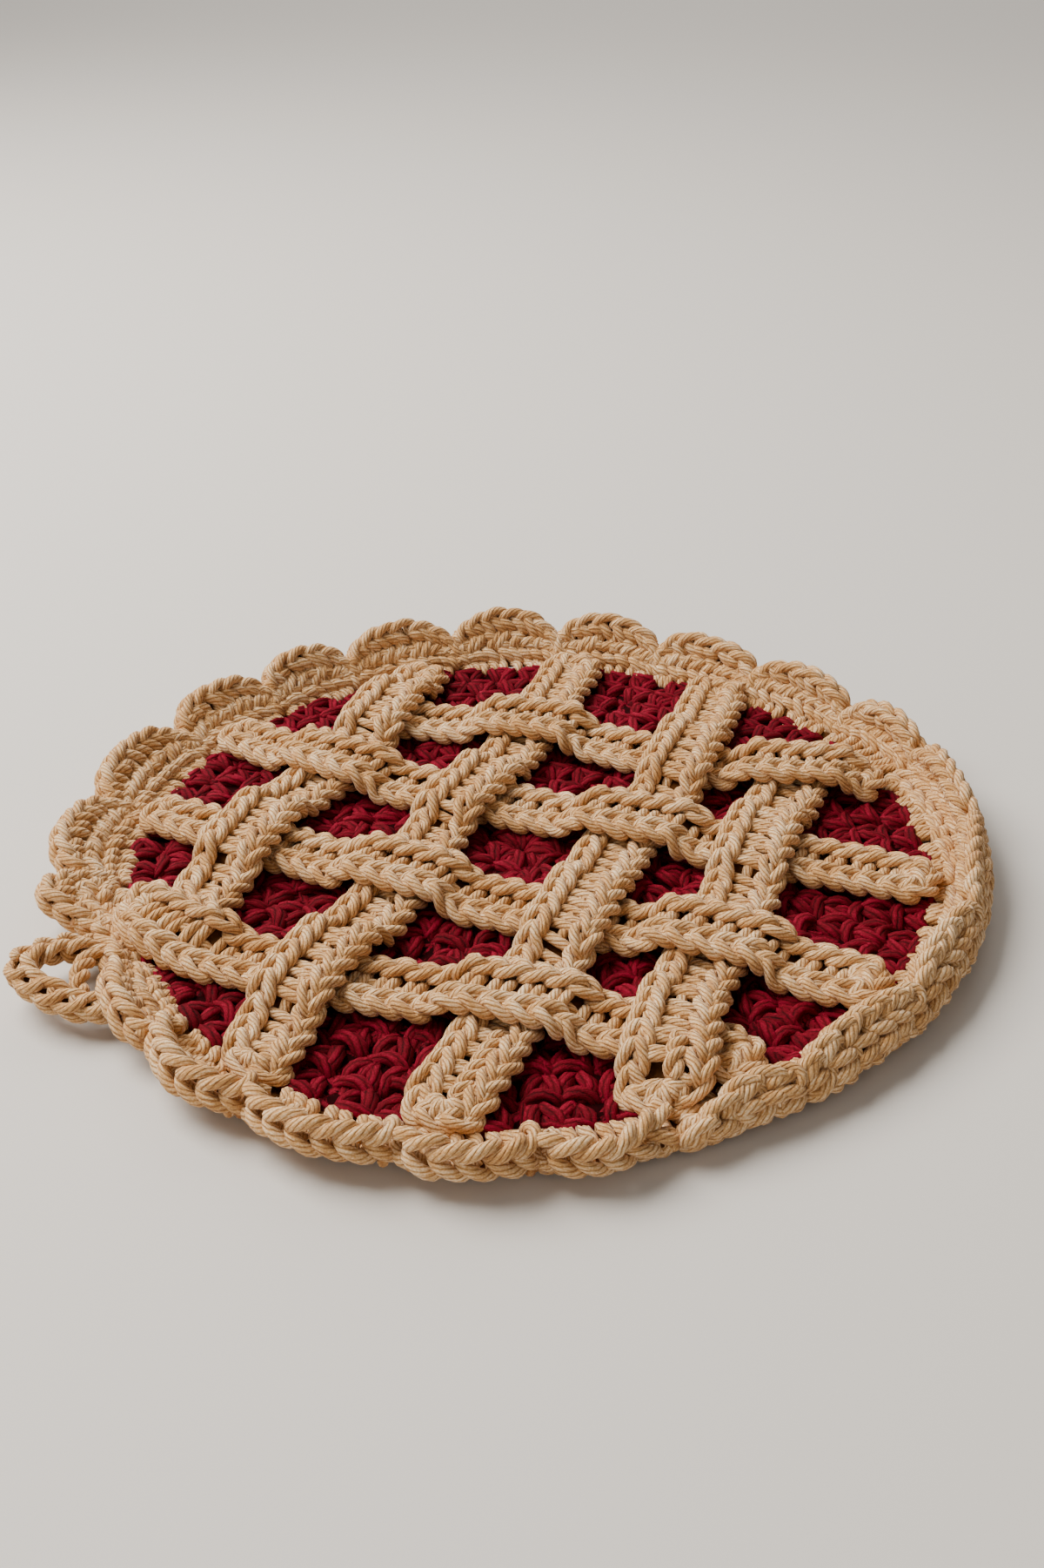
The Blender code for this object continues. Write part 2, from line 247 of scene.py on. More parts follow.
def smoothstep(value):
    value = np.clip(value, 0.0, 1.0)
    return value * value * (3 - 2 * value)


def catmull(points, count):
    """Points (..., k, d) resampled to count points on the smooth curve through them."""
    points = np.asarray(points, float)
    first = 2 * points[..., :1, :] - points[..., 1:2, :]
    last = 2 * points[..., -1:, :] - points[..., -2:-1, :]
    padded = np.concatenate([first, points, last], axis=-2)
    spot = np.linspace(0, points.shape[-2] - 1, count)
    index = np.minimum(spot.astype(int), points.shape[-2] - 2)
    t = (spot - index)[:, None]
    a, b, c, d = (padded[..., index + k, :] for k in range(4))
    return 0.5 * (
        2 * b + (c - a) * t + (2 * a - 5 * b + 4 * c - d) * t**2 + (3 * b - a - 3 * c + d) * t**3
    )


def joined(*values):
    """Values side by side along a new last axis."""
    return np.stack(np.broadcast_arrays(*values), axis=-1)


def quarter_turn(direction):
    """A direction in plan, turned left."""
    return joined(-direction[..., 1], direction[..., 0])


def between(along, at, rows):
    """Rows (n, d) read at distances along, when each row's own distance is in at."""
    return joined(*(np.interp(along, at, column) for column in rows.T))


def even_curve(points, spacing):
    """The smooth curve through points (k, d), with points spacing apart."""
    fine = catmull(points, 40 * len(points))
    along = lengths(fine)
    count = max(2, int(round(along[-1] / spacing)) + 1)
    return between(np.linspace(0, along[-1], count), along, fine)


def polar(radius, angle, height):
    """Points at a radius, an angle in degrees and a height."""
    turn = np.radians(angle)
    return joined(radius * np.cos(turn), radius * np.sin(turn), height)


def lengths(points):
    steps = np.linalg.norm(np.diff(points, axis=0), axis=1)
    return np.concatenate([[0.0], np.cumsum(steps)])


class Track:
    """A line with an across direction and a face direction, that stitches are laid along."""

    def __init__(self, points, across, face):
        self.points, self.across, self.face = points, unit(across), unit(face)
        self.at = lengths(points)
        self.length = self.at[-1]

    def place(self, along, across, up):
        inside = np.clip(along, 0, self.length)
        rows = (self.points, self.across, self.face)
        point, side, face = (between(inside, self.at, row) for row in rows)
        past = (along - inside)[..., None]
        ends = np.where(past > 0, self.points[-1] - self.points[-3], self.points[2] - self.points[0])
        return point + unit(ends) * past + side * across[..., None] + face * up[..., None]


class Yarn:
    """Collects strands of plied yarn and turns them into one mesh. lobes, dip and turns (a mm) shape thick
    plies; a yarn of thin plies has none, and its material draws them."""

    def __init__(self, columns, seed, lobes=1, dip=0.0, turns=0.0):
        self.columns, self.lobes, self.dip, self.turns = columns, lobes, dip, turns
        self.random = np.random.default_rng(seed)
        self.parts = []
        self.vertices = 0

    def sway(self, size, count):
        """One random number a strand, usually within size of nought."""
        return self.random.normal(0, size, (count, 1))

    def lay(self, points, steps, radius, columns=None):
        """Adds strands through control points (n, k, 3), in steps or just as they are. A strand is thinner
        at its two tucked ends."""
        paths = resting_on_floor(catmull(points, steps) if steps else points, radius)
        count, steps = paths.shape[:2]
        columns = columns or self.columns
        profile = self.profile(columns)
        swell = 1 - (1 - TUCKED_END) * np.abs(np.linspace(-1, 1, steps)) ** 4
        size = radius * self.random.uniform(*THICKNESS_RANGE, (count, 1)) * swell
        normal, binormal, along = strand_frames(paths)
        turn = 2 * np.pi * (along * self.turns + self.random.uniform(0, 1, (count, 1)))
        angle = turn[:, :, None] + 2 * np.pi * np.arange(columns) / columns
        reach = size[:, :, None] * profile * self.random.normal(1, SURFACE_SWAY, angle.shape)
        rings = (
            paths[:, :, None]
            + (reach * np.cos(angle))[..., None] * normal[:, :, None]
            + (reach * np.sin(angle))[..., None] * binormal[:, :, None]
        )
        tone = np.repeat(self.random.uniform(0, 1, count), steps * columns)
        self.parts.append((rings.reshape(-1, 3), *self.faces(count, steps, columns, along), tone))
        self.vertices += count * steps * columns

    def profile(self, columns):
        share = np.arange(columns) * self.lobes / columns
        return 1 - self.dip * (np.abs(share - np.round(share)) < 0.01)

    def faces(self, count, steps, columns, along):
        """Side quads, end caps and the side corners' places round and along the strand."""
        ids = self.vertices + np.arange(count * steps * columns).reshape(count, steps, columns)
        after = np.roll(ids, -1, axis=2)
        quads = joined(ids[:, :-1], after[:, :-1], after[:, 1:], ids[:, 1:])
        around = (np.arange(columns)[:, None] + (0, 1, 1, 0)) / columns
        near, far = along[:, :-1], along[:, 1:]
        corner = joined(around, joined(near, near, far, far)[:, :, None])
        caps = [ids[:, 0, ::-1], ids[:, -1]]
        return quads.reshape(-1, 4), caps, corner.reshape(-1, 2)

    def mesh(self, name):
        points, quads, caps, corners, tone = zip(*self.parts)
        quads, corners = np.concatenate(quads), np.concatenate(corners)
        caps = [cap for part in caps for end in part for cap in end.tolist()]
        mesh = bpy.data.meshes.new(name)
        mesh.from_pydata(np.concatenate(points) * MM, [], quads.tolist() + caps)
        mesh.shade_smooth()
        places = np.zeros((len(mesh.loops), 2), np.float32)
        places[: len(corners)] = corners
        mesh.uv_layers.new(name="Yarn").data.foreach_set("uv", places.ravel())
        attribute = mesh.attributes.new("tone", "FLOAT", "POINT")
        attribute.data.foreach_set("value", np.concatenate(tone).astype(np.float32))
        return mesh


def resting_on_floor(paths, radius):
    """Paths lifted where their strand would reach below the floor."""
    lowest = np.maximum(paths[..., 2:], 1.07 * radius)
    return np.concatenate([paths[..., :2], lowest], axis=-1)


def strand_frames(paths):
    """Two directions across each strand that don't turn about it, and the distance along it."""
    tangent = unit(np.gradient(paths, axis=1))
    helper = np.where(np.abs(tangent[:, 0, 2:3]) < 0.8, [[0.0, 0.0, 1.0]], [[1.0, 0.0, 0.0]])
    normal = np.empty_like(paths)
    normal[:, 0] = unit(np.cross(np.cross(tangent[:, 0], helper), tangent[:, 0]))
    for i in range(1, paths.shape[1]):
        carried = normal[:, i - 1]
        lean = (carried * tangent[:, i]).sum(-1, keepdims=True)
        normal[:, i] = unit(carried - lean * tangent[:, i])
    steps = np.linalg.norm(np.diff(paths, axis=1), axis=-1)
    along = np.concatenate([np.zeros((len(paths), 1)), np.cumsum(steps, axis=1)], axis=1)
    return normal, np.cross(tangent, normal), along


def chain(yarn, track, pitch, spread, radius, steps, lift=0.0, loose=0.06):
    """Lays a row of chain Vs along a track: two legs a stitch, each coming up inside the one before."""
    count = max(1, int(round(track.length / pitch)))
    pitch = track.length / count
    random = yarn.random
    leg = np.array(CHAIN_LEG)
    start = (np.arange(count) + random.normal(0, loose * 0.6, count))[:, None]
    wide = spread * (1 + random.normal(0, loose, count))[:, None]
    high = lift + random.normal(0, loose * 2, count)[:, None]
    for side in (-1, 1):
        sway = yarn.sway(loose, count)
        along = (start + leg[:, 0] + sway * 0.3) * pitch
        across = side * wide * (leg[:, 1] + sway * 0.5)
        up = high + radius * leg[:, 2]
        yarn.lay(track.place(along, across, up), steps, radius)


def row_of(yarn, track, pitch, strands, radius, loose=0.05):
    """Lays the same strands at every stitch of a closed track. strands: (template, steps, columns)."""
    count = int(round(track.length / pitch))
    pitch = track.length / count
    random = yarn.random
    start = (np.arange(count) + random.normal(0, loose * 0.7, count))[:, None]
    swell = 1 + yarn.sway(loose, count)
    rise = yarn.sway(loose * 2.2, count)
    for template, steps, columns in strands:
        shape = np.array(template)
        along = (start + shape[:, 0] + yarn.sway(loose * 0.5, count)) * pitch
        across = shape[:, 1] * swell + yarn.sway(loose * 2, count)
        up = shape[:, 2] + rise + yarn.sway(loose * 1.5, count)
        path = track.place(np.mod(along, track.length), across, up)
        yarn.lay(path, steps, radius, columns=columns)


# --- the forms of the pieces ---


def rim_values(angle):
    """root, belly, tip, height and length share of the rim's sheet at angles in degrees."""
    angle = RIM_START + (np.asarray(angle, float) - RIM_START) % 360.0
    index = np.searchsorted(SHELL_STARTS[1:-1], angle, side="right")
    share = (angle - SHELL_STARTS[index]) / (SHELL_STARTS[index + 1] - SHELL_STARTS[index])
    valleys = np.array([row[-1] for row in SHELLS] + [SHELLS[0][-1]])
    valley = valleys[index] + (valleys[index + 1] - valleys[index]) * share
    bow = np.maximum(1 - np.abs(2 * share - 1) ** RIM_ROUNDNESS, 0)
    middles = (SHELL_STARTS[1:] + SHELL_STARTS[:-1]) / 2
    turned = np.concatenate([[middles[-1] - 360], middles, [middles[0] + 360]])
    rows = np.array([SHELLS[-1], *SHELLS, SHELLS[0]])
    blend = [np.interp(angle, turned, rows[:, k]) for k in range(1, 5)]
    return *blend, valley + (1 - valley) * bow ** (1 / RIM_ROUNDNESS)


def rim_place(angle, share, out=0.0):
    """Point, sheet direction and sheet normal of the rim at an angle and a share of its full curve.
    out moves the point off the middle of the sheet, towards its inner face."""
    root, belly, tip, height, _ = rim_values(angle)
    hollow = np.clip((tip - belly) / 3 + 0.5, 0, 1)
    start = joined(root, RIM_ROOT_HEIGHT)
    bend = joined(belly, RIM_ROOT_HEIGHT + 0.25 * (height - RIM_ROOT_HEIGHT) * hollow)
    end = joined(tip, height - RIM_THICKNESS / 2)
    t = np.broadcast_to(share, root.shape)[..., None]
    middle = (1 - t) ** 2 * start + 2 * t * (1 - t) * bend + t**2 * end
    run = unit(2 * (1 - t) * (bend - start) + 2 * t * (end - bend))
    radial = polar(1.0, angle, 0.0)[..., :2]

    def upright(pair):
        return np.concatenate([radial * pair[..., :1], pair[..., 1:]], axis=-1)

    normal = upright(quarter_turn(run))
    return upright(middle) + normal * np.asarray(out)[..., None], upright(run), normal


def edge_radius(angle):
    """Radius of the red disc's edge at an angle in degrees."""
    return rim_values(angle)[0] - GAP


def strip_line(table):
    return even_curve(table, 1.0)


class Strip:
    """One lattice strip: places on it are along, across and up from the middle of its thickness."""

    def __init__(self, table, crossed, overhang=0.0):
        self.line = strip_line(table)
        self.overhang = overhang
        self.at = lengths(self.line[:, :2])
        self.length = self.at[-1]
        self.run = unit(np.gradient(self.line[:, :2], axis=0))
        self.crossed = crossed

    def width(self, along):
        return np.interp(along, self.at, self.line[:, 2])

    def plan(self, along, across):
        inside = np.clip(along, 0, self.length)
        point, run = between(inside, self.at, self.line[:, :2]), between(inside, self.at, self.run)
        point = point + run * (along - inside)[..., None] + quarter_turn(run) * across[..., None]
        return drawn_in(point, self.overhang), run

    def underside(self, plan):
        """Height of the strip's underside: it climbs over each strip that it crosses above."""
        lift = np.zeros(plan.shape[:-1])
        for line in self.crossed:
            reach = line[:, 2].mean() / 2 + CROSSING_MARGIN
            away = distance_to_line(plan, line[::3, :2]) - reach
            lift = np.maximum(lift, 1 - smoothstep(away / CROSSING_RAMP))
        return BASE_THICKNESS + GAP + lift * (STRIP_THICKNESS + CROSSING_GAP)

    def place(self, along, across, up):
        along, across, up = np.broadcast_arrays(*(np.asarray(v, float) for v in (along, across, up)))
        plan, run = self.plan(along, across)
        height = self.underside(plan) + STRIP_THICKNESS / 2
        ahead = self.underside(plan + run * 0.8)
        behind = self.underside(plan - run * 0.8)
        slope = np.arctan((ahead - behind) / 1.6)
        plan = plan - run * (np.sin(slope) * up)[..., None]
        return np.concatenate([plan, (height + np.cos(slope) * up)[..., None]], axis=-1)


def drawn_in(plan, overhang):
    """Points in plan, drawn in so that they go no further than overhang past the red disc's edge."""
    radius = np.linalg.norm(plan, axis=-1)
    edge = edge_radius(np.degrees(np.arctan2(plan[..., 1], plan[..., 0]))) + overhang
    past = np.maximum(radius - (edge - STRIP_END_DRAW), 0)
    drawn = edge - STRIP_END_DRAW * np.exp(-past / STRIP_END_DRAW)
    return plan * np.where(past > 0, drawn / np.maximum(radius, 1e-6), 1.0)[..., None]


def distance_to_line(points, line):
    """Shortest distance in plan from points (..., 2) to a polyline."""
    starts, runs = line[:-1], np.diff(line, axis=0)
    offset = points[..., None, :] - starts
    share = np.clip((offset * runs).sum(-1) / (runs**2).sum(-1), 0, 1)
    return np.linalg.norm(offset - share[..., None] * runs, axis=-1).min(-1)


# --- materials ---


def math_node(operation, reflected=False):
    """An operator that adds a Math node; the reflected form takes its left number from outside."""

    def make(shade, *others):
        values = (*others, shade) if reflected else (shade, *others)
        return shade.nodes.add("ShaderNodeMath", {"operation": operation}, *values)

    return make


class Shade:
    """A number that varies over a surface. Arithmetic on it adds Math nodes."""

    def __init__(self, nodes, socket):
        self.nodes, self.socket = nodes, socket

    __add__, __radd__ = math_node("ADD"), math_node("ADD")
    __sub__, __rsub__ = math_node("SUBTRACT"), math_node("SUBTRACT", reflected=True)
    __mul__, __rmul__ = math_node("MULTIPLY"), math_node("MULTIPLY")
    __truediv__, __rtruediv__ = math_node("DIVIDE"), math_node("DIVIDE", reflected=True)
    __pow__, __rpow__ = math_node("POWER"), math_node("POWER", reflected=True)
    __abs__, fraction = math_node("ABSOLUTE"), math_node("FRACT")
    sine, cosine = math_node("SINE"), math_node("COSINE")
    at_least, at_most = math_node("MAXIMUM"), math_node("MINIMUM")

    def clamped(self):
        return self.at_least(0.0).at_most(1.0)


class Nodes:
    """A material's node tree."""

    def __init__(self, name):
        self.material = bpy.data.materials.new(name)
        self.material.use_nodes = True
        self.tree = self.material.node_tree
        self.shader = self.tree.nodes["Principled BSDF"]

    def add(self, kind, settings, *values, output=0, **named):
        """A node of a kind, with its settings made first, then the values or links of its sockets."""
        node = self.tree.nodes.new(kind)
        for key, value in settings.items():
            if key == "stops":
                self.set_stops(node.color_ramp, value)
            else:
                setattr(node, key, value)
        for key, value in [*enumerate(values), *named.items()]:
            self.feed(node.inputs[key], value)
        return Shade(self, node.outputs[output])

    def set_stops(self, ramp, stops):
        while len(ramp.elements) < len(stops):
            ramp.elements.new(0.5)
        for element, (position, colour) in zip(ramp.elements, stops):
            element.position = position
            element.color = (*colour, 1.0)

    def noise(self, place, scale, detail, **named):
        """A noise over a place, from 0 to 1 with its middle at 0.5."""
        named = {"Vector": place, "Scale": scale, "Detail": detail, **named}
        return self.add("ShaderNodeTexNoise", {}, output="Fac", **named)

    def ramp(self, light, *stops):
        return self.add("ShaderNodeValToRGB", {"stops": stops}, output="Color", Fac=light)

    def bump(self, height, strength, distance):
        named = {"Strength": strength, "Distance": distance * MM, "Height": height}
        return self.add("ShaderNodeBump", {}, output="Normal", **named)

    def feed(self, socket, value):
        if isinstance(value, Shade):
            self.tree.links.new(value.socket, socket)
        else:
            socket.default_value = value

    def set(self, **values):
        for key, value in values.items():
            self.feed(self.shader.inputs[key.replace("_", " ")], value)


def yarn_material(name, colours, plies, turns, fibres, relief, shine):
    """Plied cotton yarn: plies and fine fibres along the strand, with painted shade between the plies and a
    painted highlight on their crests.
    """
    nodes = Nodes(name)
    place = nodes.add("ShaderNodeUVMap", {"uv_map": "Yarn"})
    around = nodes.add("ShaderNodeSeparateXYZ", {}, place, output="X")
    along = nodes.add("ShaderNodeSeparateXYZ", {}, place, output="Y")
    tone = nodes.add("ShaderNodeAttribute", {"attribute_name": "tone"}, output="Fac")
    position = nodes.add("ShaderNodeNewGeometry", {}, output="Position")

    sway = nodes.noise(position, *SWAY_NOISE)
    turned = around + along * turns + (sway - 0.5) * 0.10
    ply = 1 - abs((turned * plies).fraction() * 2 - 1) ** 3
    turn = around * (2 * math.pi) + along * FIBRE_STRETCH
    around_fibres = (turn.cosine() * fibres, turn.sine() * fibres, along * FIBRE_STRETCH + tone * 80)
    streak = nodes.noise(nodes.add("ShaderNodeCombineXYZ", {}, *around_fibres), *STREAK_NOISE, Roughness=0.55)
    patch = nodes.noise(position, *PATCH_NOISE)
    fuzz = nodes.noise(position, *FUZZ_NOISE)

    # The ply term is painted shade between the plies and a painted highlight on their crests; the streak,
    # tone, patch and fuzz terms are the yarn's own uneven colour.
    light = ply * (PLY_PAINTED_SHADE + sway * SWAY_LIGHT) + (streak - 0.5) * STREAK_LIGHT
    light = light + (tone - 0.5) * TONE_LIGHT + (patch - 0.5) * PATCH_LIGHT
    light = (light + (fuzz - 0.5) * FUZZ_LIGHT + EVEN_LIGHT).clamped()
    # deep is the painted shade between the plies and the darkest fibres; pale is the lightest fibres and the
    # painted highlight on the ply crests.
    deep, middle, pale = colours
    colour = nodes.ramp(light, (0.05, deep), (0.50, middle), (0.95, pale))
    bump = nodes.bump(ply * PLY_HEIGHT + streak * STREAK_HEIGHT + fuzz * FUZZ_HEIGHT, 0.9, relief)
    rough = (YARN_ROUGHNESS + (streak - 0.5) * ROUGHNESS_RANGE).clamped()
    nodes.set(Base_Color=colour, Roughness=rough, Normal=bump)
    sheen, specular = shine
    nodes.set(Sheen_Weight=sheen, Sheen_Roughness=0.45, Specular_IOR_Level=specular)
    return nodes.material


def shaded_core_material(name, colour):
    """The inside of the stitches, seen only in the bottom of their holes; its dark colour is painted shade
    for those holes.
    """
    nodes = Nodes(name)
    position = nodes.add("ShaderNodeNewGeometry", {}, output="Position")
    grain = nodes.noise(position, *GRAIN_NOISE)
    mixed = nodes.ramp(grain, (0.3, tuple(0.45 * value for value in colour)), (0.7, colour))
    bump = nodes.bump(grain, 0.6, 0.3)
    nodes.set(Base_Color=mixed, Roughness=0.9 + (grain - 0.5) * 0.1, Normal=bump)
    nodes.set(Specular_IOR_Level=0.05)
    return nodes.material


def plain_material(name, colour, roughness):
    nodes = Nodes(name)
    nodes.set(Base_Color=(*colour, 1.0), Roughness=roughness)
    return nodes.material


# --- making objects ---


def add_piece(name, mesh, material):
    mesh.materials.append(material)
    piece = bpy.data.objects.new(name, mesh)
    bpy.context.scene.collection.objects.link(piece)
    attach(piece, "root")
    return piece


def skin(name, sections, closed):
    """A closed mesh through sections (n, k, 3) in mm."""
    body = bmesh.new()
    rings = [[body.verts.new(point) for point in section * MM] for section in sections]
    pairs = list(zip(rings, rings[1:]))
    if closed:
        pairs.append((rings[-1], rings[0]))
    for near, far in pairs:
        for i in range(len(near)):
            j = (i + 1) % len(near)
            body.faces.new((near[i], near[j], far[j], far[i]))
    if not closed:
        body.faces.new(rings[0])
        body.faces.new(reversed(rings[-1]))
    bmesh.ops.recalc_face_normals(body, faces=body.faces)
    mesh = bpy.data.meshes.new(name)
    body.to_mesh(mesh)
    body.free()
    mesh.shade_smooth()
    mesh.set_sharp_from_angle(angle=math.radians(40))
    return mesh


def settings():
    return bpy.context.scene.trivet


def tan_yarn(seed):
    return Yarn(TAN_SIDES, seed)


def red_yarn(seed):
    return Yarn(RED_SIDES, seed, lobes=RED_PLIES, dip=PLY_DIP, turns=MM / settings().red.twist)


def shared_material(name, make, *values):
    return bpy.data.materials.get(name) or make(name, *values)


def stitched(name, yarn, colour="tan"):
    """The piece made of a yarn's strands. The tan yarn's plies turn in its material, the red yarn's in
    its mesh."""
    mesh = yarn.mesh(name)
    own = getattr(settings(), colour)
    colours = (tuple(own.deep), tuple(own.middle), tuple(own.pale))
    looks = {
        "tan": (TAN_PLIES, MM / own.twist, 5.0, 0.30, (0.16, 0.15)),
        "red": (RED_PLIES, 0.0, 7.0, 0.30, (0.0, 0.08)),
    }
    material = shared_material(f"{colour} yarn", yarn_material, colours, *looks[colour])
    return add_piece(name, mesh, material)


def plain_core(name, sections, colour="tan", closed=False):
    """The thin core that fills a piece under its stitches. It takes the yarn's deep colour, darkened further
    for the tan, as painted shade in the holes between the stitches.
    """
    mesh = skin(name, sections, closed)
    # How far the deep colour is darkened for the core's painted shade.
    shade = {"tan": 0.4, "red": 1.0}[colour]
    deep = tuple(shade * value for value in getattr(settings(), colour).deep)
    material = shared_material(f"inner {colour} stitches", shaded_core_material, deep)
    return add_piece(name, mesh, material)


# --- the red disc ---


def under_lattice(points):
    """Which points in plan lie well under a lattice strip, where only simple strands are needed."""
    hidden = np.zeros(points.shape[:-1], bool)
    for table in (*ACROSS, *ALONG):
        line = strip_line(table)[::3]
        hidden |= distance_to_line(points, line[5:-5, :2]) < line[:, 2].mean() / 2 - RED_SHOWN
    return hidden


def disc_round(yarn, number, facing):
    """The control points of the strands of one round of single crochet."""
    own = settings()
    random = yarn.random
    radius = own.red.thickness / MM / 2
    crest = BASE_THICKNESS - radius + 0.15 if facing > 0 else radius - 0.1
    rounds = own.disc.rounds
    start = (number + DISC_CENTRE) / (rounds + DISC_CENTRE)
    tall = 1 / (rounds + DISC_CENTRE)
    mean = np.mean([row[1] for row in SHELLS])
    count = max(6, int(round(2 * np.pi * (start + 0.5 * tall) * mean / (own.disc.stitch / MM))))
    spots = np.arange(count) + random.uniform(0, 1) + random.normal(0, 0.11, count)
    lean = yarn.sway(0.12, count)
    spread, relief = (1, 1) if facing > 0 else (BACK_SPREAD, BACK_RELIEF)
    found = []
    for template, sides in ((DISC_LEG, (-1, 1)), (DISC_MIDDLE, (1,)), (DISC_LOOP, (1,))):
        shape = catmull(template, 7)
        for side in sides:
            along = spots[:, None] + side * shape[:, 0] * spread + lean * shape[:, 1]
            angle = 360.0 * along / count
            share = start + tall * (shape[:, 1] + yarn.sway(0.09, count))
            out = np.minimum(share * edge_radius(angle), edge_radius(angle) - radius * 0.6)
            up = shape[:, 2] * relief + yarn.sway(0.16, count)
            path = polar(out, angle, crest + facing * radius * up)
            sparse = template is DISC_MIDDLE and facing > 0
            kept = random.uniform(0, 1, count) < (DISC_FILLED if sparse else 1)
            found.append(path[kept])
    return np.concatenate(found)


def disc_stitches(name, facing, numbers, fine, seed):
    """One face's rounds as a piece. fine: (steps, columns) where they show; simpler under the lattice."""
    yarn = red_yarn(seed)
    radius = settings().red.thickness / MM / 2
    for number in numbers:
        paths = disc_round(yarn, number, facing)
        hidden = under_lattice(paths[:, 3, :2]) & (facing > 0)
        steps, columns = fine
        yarn.lay(paths[~hidden], steps, radius, columns=columns)
        if hidden.any():
            yarn.lay(paths[hidden], 5, radius, columns=5)
    return stitched(name, yarn, "red")


class TRIVET_OT_red_disc(bpy.types.Operator):
    """Crochets the red disc in rounds, top and underneath"""

    bl_idname = "trivet.red_disc"
    bl_label = "Red disc"

    def execute(self, context):
        rounds = settings().disc.rounds
        shaded_inner, outer = range(rounds - 4), range(rounds - 4, rounds)
        shown = (9, RED_SIDES)
        stitches = [
            disc_stitches("red_disc_inner_rounds", 1, shaded_inner, shown, 11),
            disc_stitches("red_disc_outer_rounds", 1, outer, shown, 12),
            disc_stitches("red_disc_back", -1, range(rounds), (6, 6), 13),
        ]
        angles = np.arange(0, 360, 3.0)
        sections = [polar(edge_radius(angles) - inset, angles, height) for inset, height in CORE_RINGS]
        core = plain_core("red_disc_core", sections, "red")
        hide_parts("red_base")
        return {"FINISHED"}


# --- the lattice ---


def strip_edge(strip, inset, lean, open_end):
    """The track round a strip's edge, counter-clockwise, its face leaning outward. At an open end it lies
    lower, under the fan of legs."""
    first = strip.width(0.0) / 2
    last = strip.width(strip.length) / 2
    sides = np.arange(first, strip.length - last, 0.6)
    far = np.radians(np.linspace(-90, 90, 20)[1:-1])
    near = np.radians(np.linspace(90, 270, 20)[1:-1])
    half = strip.width(sides) / 2 - inset
    last_reach, first_reach = last - inset, first - inset
    along = [
        sides,
        strip.length - last + (last_reach + END_REACH) * squared(np.cos(far)),
        sides[::-1],
        first + (first_reach + END_REACH) * squared(np.cos(near)),
    ]
    across = [-half, last_reach * squared(np.sin(far)), half[::-1], first_reach * squared(np.sin(near))]
    along, across = np.concatenate(along), np.concatenate(across)
    outward = unit(np.stack([around_step(across), -around_step(along)], axis=1))
    drop = -OPEN_END_DROP * smoothstep((first - along) / first * 1.6) if open_end else 0.0
    points = strip.place(along, across, drop)
    beside = strip.place(along + outward[:, 0], across + outward[:, 1], drop)
    above = strip.place(along, across, drop + 1.0)
    side, face = unit(beside - points), unit(above - points)
    lean = math.radians(lean)
    across_way = side * math.cos(lean) - face * math.sin(lean)
    face_way = face * math.cos(lean) + side * math.sin(lean)
    closed = [np.concatenate([rows, rows[:1]]) for rows in (points, across_way, face_way)]
    return Track(*closed)


def squared(values):
    """Sines or cosines made to draw a square with rounded corners."""
    return np.sign(values) * np.abs(values) ** 0.5


def around_step(values):
    """Change from the value before to the value after, in a closed row."""
    return np.roll(values, -1) - np.roll(values, 1)


def furrow(yarn, strip, pitch, radius, start):
    """Pairs of short posts across the strip's middle, with a dark gap between one pair and the next."""
    room = strip.length - FURROW_STOP - start
    count = max(2, int(round(room / pitch)))
    pitch = room / count
    middles = start + (np.arange(count) + 0.5)[:, None] * pitch
    post = np.array(FURROW_POST)
    for lean in (-1, 1):
        along = middles + pitch * (0.20 * lean + post[:, 0] * 1.2) + yarn.sway(0.15, count)
        across = FURROW_HALF * post[:, 1] + yarn.sway(0.1, count)
        up = post[:, 2] + yarn.sway(0.12, count)
        yarn.lay(strip.place(along, across, up), 8, radius)
    shift, up = np.array(FURROW_BRIDGE).T
    along = middles + pitch * (0.5 + shift)
    across = yarn.sway(0.5, count) + 0 * along
    yarn.lay(strip.place(along, across, up), 6, radius * 0.95, columns=8)


def ribbed_stub(yarn, strip, pitch, radius, last):
    """The near part of a strip: a wound column near its middle, with bars and holes on both sides."""
    along = np.linspace(STUB_START, last, 40)
    (middle, height), (wide, high) = STUB_MIDDLE, STUB_WINDING
    for strand in (0, 1):
        phase = np.pi * strand + 2 * np.pi * along / STUB_TURN
        path = strip.place(along, middle + wide * np.cos(phase), height + high * np.sin(phase))
        yarn.lay(path[None], None, radius)
    count = int((last - 2.0) / pitch)
    middles = (FIRST_BAR + np.arange(count) * pitch)[:, None]
    shift, across, rise = np.array(STUB_BAR).T
    right_shift, right_across = np.array(STUB_RIGHT_BAR).T
    for side in (-1, 1):
        along = middles + side * 0.75 + shift + yarn.sway(0.15, count)
        up = rise + yarn.sway(0.1, count)
        yarn.lay(strip.place(along, across, up), 7, radius * 0.95)
        along = middles - 2.0 + side * 1.6 + right_shift
        yarn.lay(strip.place(along, right_across, up - 0.2), 7, radius)


def end_fans(yarn, strip, radius, open_end):
    """Legs that fan from the last hole round each end of the strip."""
    angles = np.radians(FAN_DIRECTIONS)[:, None]
    reach, flat, open_up = np.array(FAN_LEG).T
    near = OPEN_FAN_HOLE if open_end else FAN_HOLE
    for hole, way, raised in ((near, -1, open_end), (strip.length - FAN_HOLE, 1, False)):
        out = (OPEN_FAN_LENGTH if raised else strip.width(hole) / 2 - FAN_INSET) * reach
        along = hole + way * np.cos(angles) * out
        up = open_up + yarn.random.normal(0, 0.12, along.shape) if raised else flat
        yarn.lay(strip.place(along, np.sin(angles) * out, up), 7, radius)


